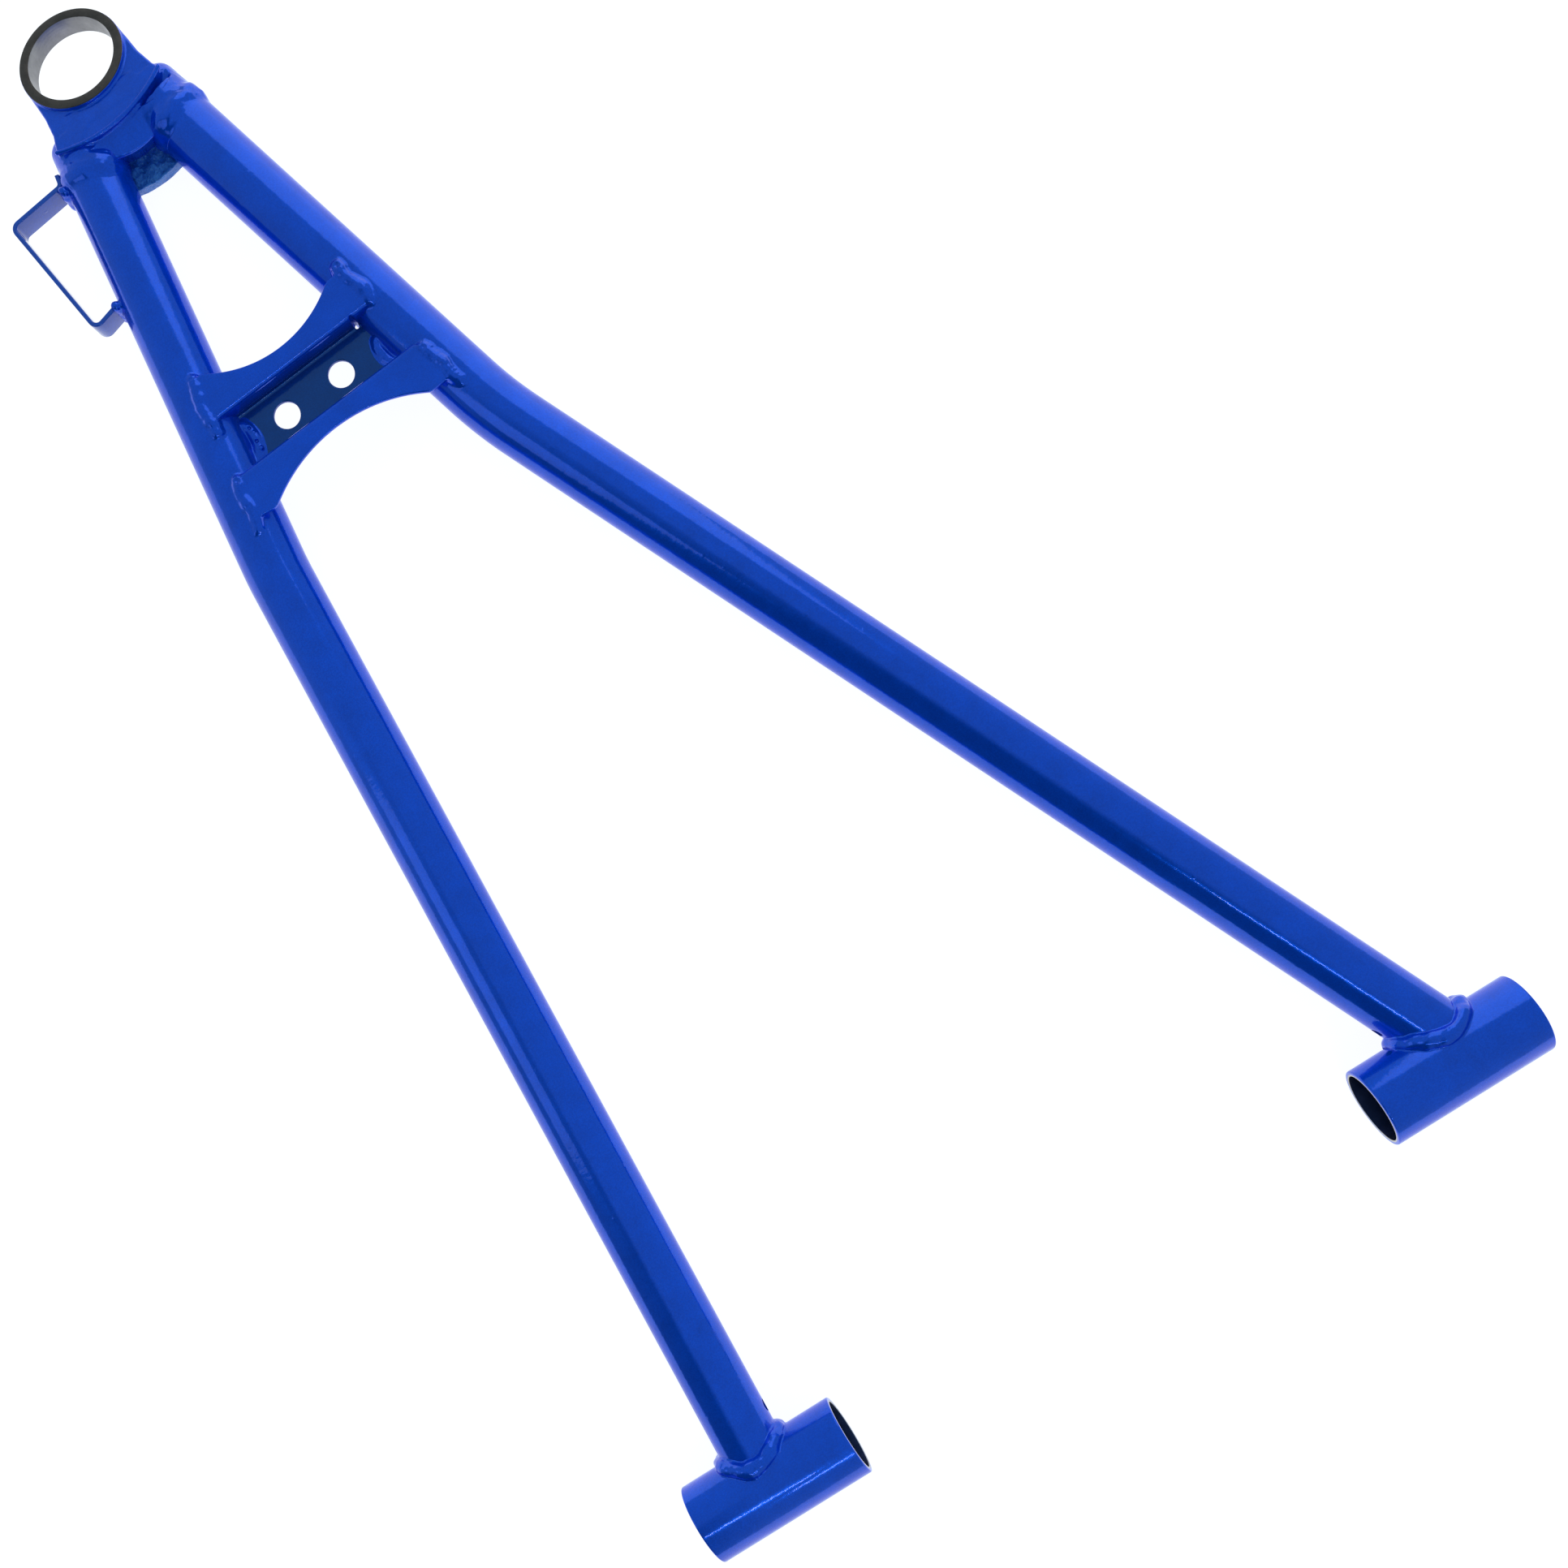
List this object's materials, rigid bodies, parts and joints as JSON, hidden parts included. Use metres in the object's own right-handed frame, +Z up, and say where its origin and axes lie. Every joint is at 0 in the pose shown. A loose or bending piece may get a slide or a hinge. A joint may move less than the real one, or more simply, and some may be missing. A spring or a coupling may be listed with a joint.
{
  "type": "suspension control arm",
  "caption": "Welded tubular A-arm: bent legs, pressed cross channel, ball joint housing at the apex, open pivot sleeves at the feet and a strap loop for a hose.",
  "frame": {"origin": "centre of the rear pivot sleeve's bore, halfway along the sleeve", "axes": "+X along the pivot axis from the rear sleeve to the front one, +Y outboard from the pivot axis to the ball joint, +Z up, square to the plane of the two legs, on the side that the cross channel's flanges are on"},
  "size_m": [0.411, 0.7286, 0.0368],
  "materials": {
    "tubes_painted": "glossy metallic blue powder coat",
    "sleeves_painted": "glossy metallic blue powder coat",
    "forging_painted": "glossy metallic blue powder coat, with the ring's top face and bore left as bare machined steel",
    "casting_painted": "glossy metallic blue powder coat over a rough as-cast surface",
    "pressing_painted": "glossy metallic blue powder coat over pressed sheet",
    "strap_painted": "glossy metallic blue powder coat over flat strap",
    "weld_beads_painted": "glossy metallic blue powder coat over rippled weld beads"
  },
  "bodies": {
    "root": {"ball_joint_housing": "forging_painted", "crotch_gusset": "casting_painted", "front_leg_tube": "tubes_painted", "rear_leg_tube": "tubes_painted", "front_pivot_sleeve": "sleeves_painted", "rear_pivot_sleeve": "sleeves_painted", "cross_channel": "pressing_painted", "hose_loop": "strap_painted", "weld_front_leg_to_housing": "weld_beads_painted", "weld_rear_leg_to_housing": "weld_beads_painted", "weld_front_leg_to_sleeve": "weld_beads_painted", "weld_rear_leg_to_sleeve": "weld_beads_painted", "weld_outboard_flange_front": "weld_beads_painted", "weld_outboard_flange_rear": "weld_beads_painted", "weld_inboard_flange_front": "weld_beads_painted", "weld_inboard_flange_rear": "weld_beads_painted", "weld_web_end_front": "weld_beads_painted", "weld_web_end_rear": "weld_beads_painted", "weld_loop_outboard": "weld_beads_painted", "weld_loop_inboard": "weld_beads_painted"}
  },
  "joints": []
}
